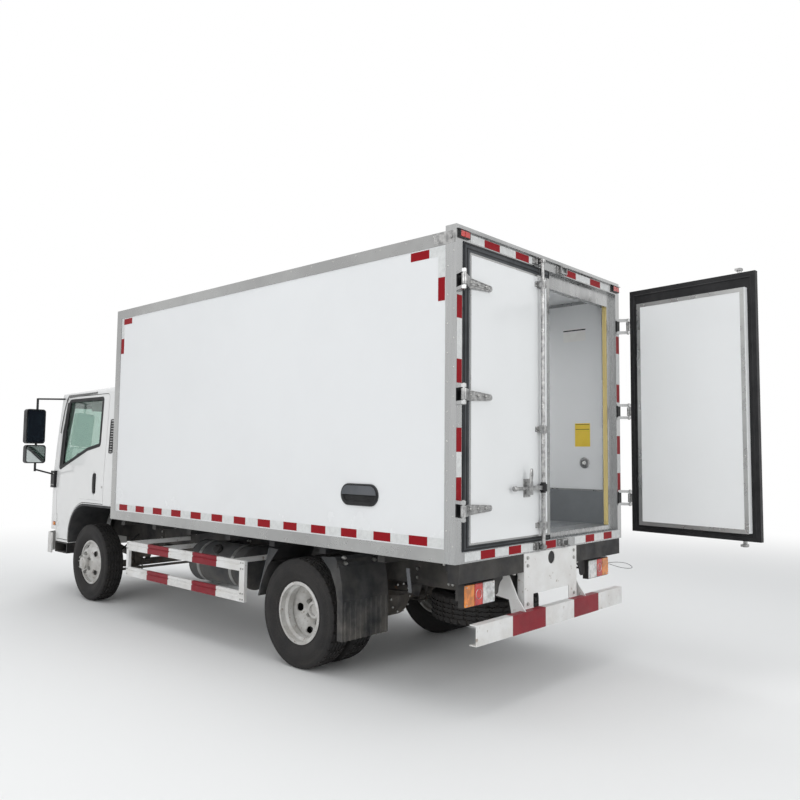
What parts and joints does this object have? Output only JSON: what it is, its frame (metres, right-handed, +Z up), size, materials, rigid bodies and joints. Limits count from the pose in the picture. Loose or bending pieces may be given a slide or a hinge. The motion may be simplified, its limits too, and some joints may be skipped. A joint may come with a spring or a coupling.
{
  "type": "refrigerated box truck",
  "caption": "Light cab-over truck with an insulated white load box, refrigeration unit, twin rear doors with one open, dual rear wheels, side guards and a tilting cab.",
  "frame": {"origin": "on the ground under the middle of the rear axle, on the vehicle's centre plane", "axes": "+X forward along the vehicle, +Y to its left, +Z up"},
  "size_m": [6.9906, 2.408, 2.857],
  "materials": {
    "tyre_black": "worn, dusty tread rubber",
    "rim_white": "off-white paint, scuffed and rust-stained",
    "frame_black": "black chassis paint, road grime",
    "cast_grey": "oily cast and forged parts",
    "steel": "stainless steel with faint streaks",
    "spring_steel": "dark spring steel",
    "tank_grey": "dark grey paint",
    "exhaust_steel": "heat-browned steel",
    "box_white": "gloss white laminate panel",
    "trim_aluminium": "satin aluminium section",
    "floor_grey": "grey anti-slip floor sheet",
    "plate_white": "white painted plate, grime at its edges",
    "lamp_red": "red lamp lens",
    "mud_black": "black moulded plastic",
    "seal_black": "black door seal",
    "seal_grey": "dark grey door seal",
    "cab_white": "gloss white cab paint",
    "glass": "green-tinted safety glass",
    "lamp_clear": "clear lamp lens over a bright reflector",
    "trim_black": "black moulded plastic",
    "cabin_grey": "grey moulded plastic",
    "seat_cloth": "dark grey woven cloth",
    "unit_white": "white painted housing"
  },
  "bodies": {
    "chassis": {"battery_box": "mud_black", "box_bearers": "frame_black", "box_floor": "box_white", "box_front_wall": "box_white", "box_roof": "box_white", "box_side_walls": "box_white", "box_trims": "trim_aluminium", "cab_steps": "trim_black", "cross_members": "frame_black", "drive_shaft": "frame_black", "engine": "cast_grey", "exhaust": "exhaust_steel", "floor_sheet": "floor_grey", "frame_rails": "frame_black", "front_axle": "cast_grey", "front_bumper": "plate_white", "fuel_tank": "tank_grey", "guards": "steel", "kick_plates": "trim_aluminium", "leaf_springs": "spring_steel", "rear_axle": "cast_grey", "rear_frame": "steel", "rear_lamps": "lamp_red", "rear_mudguards": "mud_black", "rear_plate": "plate_white", "refrigeration_unit": "unit_white", "side_vent": "mud_black", "spare_wheel": "tyre_black"},
    "cab": {"cab_floor": "cab_white", "cab_back": "cab_white", "cab_roof": "cab_white", "cab_side_frames": "cab_white", "cab_front": "cab_white", "cab_glass": "glass", "grille": "trim_black", "headlamps": "lamp_clear", "mirrors": "trim_black", "dashboard": "cabin_grey", "seats": "seat_cloth"},
    "cab_door_left": {"cab_door_left": "cab_white", "cab_door_left_glass": "glass"},
    "cab_door_right": {"cab_door_right": "cab_white", "cab_door_right_glass": "glass"},
    "rear_door_left": {"rear_door_left_panel": "box_white", "rear_door_left_seal": "seal_grey", "rear_door_left_hardware": "steel"},
    "rear_door_right": {"rear_door_right_panel": "box_white", "rear_door_right_seal": "seal_black", "rear_door_right_hardware": "steel"},
    "steer_left": {"left_knuckle": "cast_grey"},
    "steer_right": {"right_knuckle": "cast_grey"},
    "tie_rod": {"tie_rod": "cast_grey"},
    "front_left_wheel": {"front_left_tyre": "tyre_black", "front_left_rim": "rim_white"},
    "front_right_wheel": {"front_right_tyre": "tyre_black", "front_right_rim": "rim_white"},
    "rear_left_wheel": {"rear_left_tyres": "tyre_black", "rear_left_rims": "rim_white"},
    "rear_right_wheel": {"rear_right_tyres": "tyre_black", "rear_right_rims": "rim_white"}
  },
  "joints": [
    {"name": "steer_left", "type": "hinge", "parent": "chassis", "child": "steer_left", "pos_m": [3.36, 0.69, 0.38], "axis": [0, 0, 1], "range_deg": [-35, 35]},
    {"name": "steer_right", "type": "hinge", "parent": "chassis", "child": "steer_right", "pos_m": [3.36, -0.69, 0.38], "axis": [0, 0, 1], "range_deg": [-35, 35]},
    {"name": "tie_rod_pivot", "type": "hinge", "parent": "steer_left", "child": "tie_rod", "pos_m": [3.23, 0.69, 0.314], "axis": [0, 0, 1], "range_deg": [-35, 35]},
    {"name": "front_left_spin", "type": "hinge", "parent": "steer_left", "child": "front_left_wheel", "pos_m": [3.36, 0.765, 0.38], "axis": [0, 1, 0], "continuous": true},
    {"name": "front_right_spin", "type": "hinge", "parent": "steer_right", "child": "front_right_wheel", "pos_m": [3.36, -0.765, 0.38], "axis": [0, 1, 0], "continuous": true},
    {"name": "rear_left_spin", "type": "hinge", "parent": "chassis", "child": "rear_left_wheel", "pos_m": [0, 0.7425, 0.38], "axis": [0, 1, 0], "continuous": true},
    {"name": "rear_right_spin", "type": "hinge", "parent": "chassis", "child": "rear_right_wheel", "pos_m": [0, -0.7425, 0.38], "axis": [0, 1, 0], "continuous": true},
    {"name": "cab_tilt", "type": "hinge", "parent": "chassis", "child": "cab", "pos_m": [4.36, 0, 0.6], "axis": [0, 1, 0], "range_deg": [0, 45]},
    {"name": "cab_door_left_hinge", "type": "hinge", "parent": "cab", "child": "cab_door_left", "pos_m": [4.09, 0.88, 1.2], "axis": [0, 0, -1], "range_deg": [0, 70]},
    {"name": "cab_door_right_hinge", "type": "hinge", "parent": "cab", "child": "cab_door_right", "pos_m": [4.09, -0.88, 1.2], "axis": [0, 0, 1], "range_deg": [0, 70]},
    {"name": "rear_door_left_hinge", "type": "hinge", "parent": "chassis", "child": "rear_door_left", "pos_m": [-1.545, 1.05, 1.85], "axis": [0, 0, -1], "range_deg": [0, 270]},
    {"name": "rear_door_right_hinge", "type": "hinge", "parent": "chassis", "child": "rear_door_right", "pos_m": [-1.545, -1.05, 1.85], "axis": [0, 0, 1], "range_deg": [-83, 187]}
  ],
  "couplings": [
    {"joint": "steer_right", "follows": "steer_left", "ratio": 1},
    {"joint": "tie_rod_pivot", "follows": "steer_left", "ratio": -1}
  ]
}
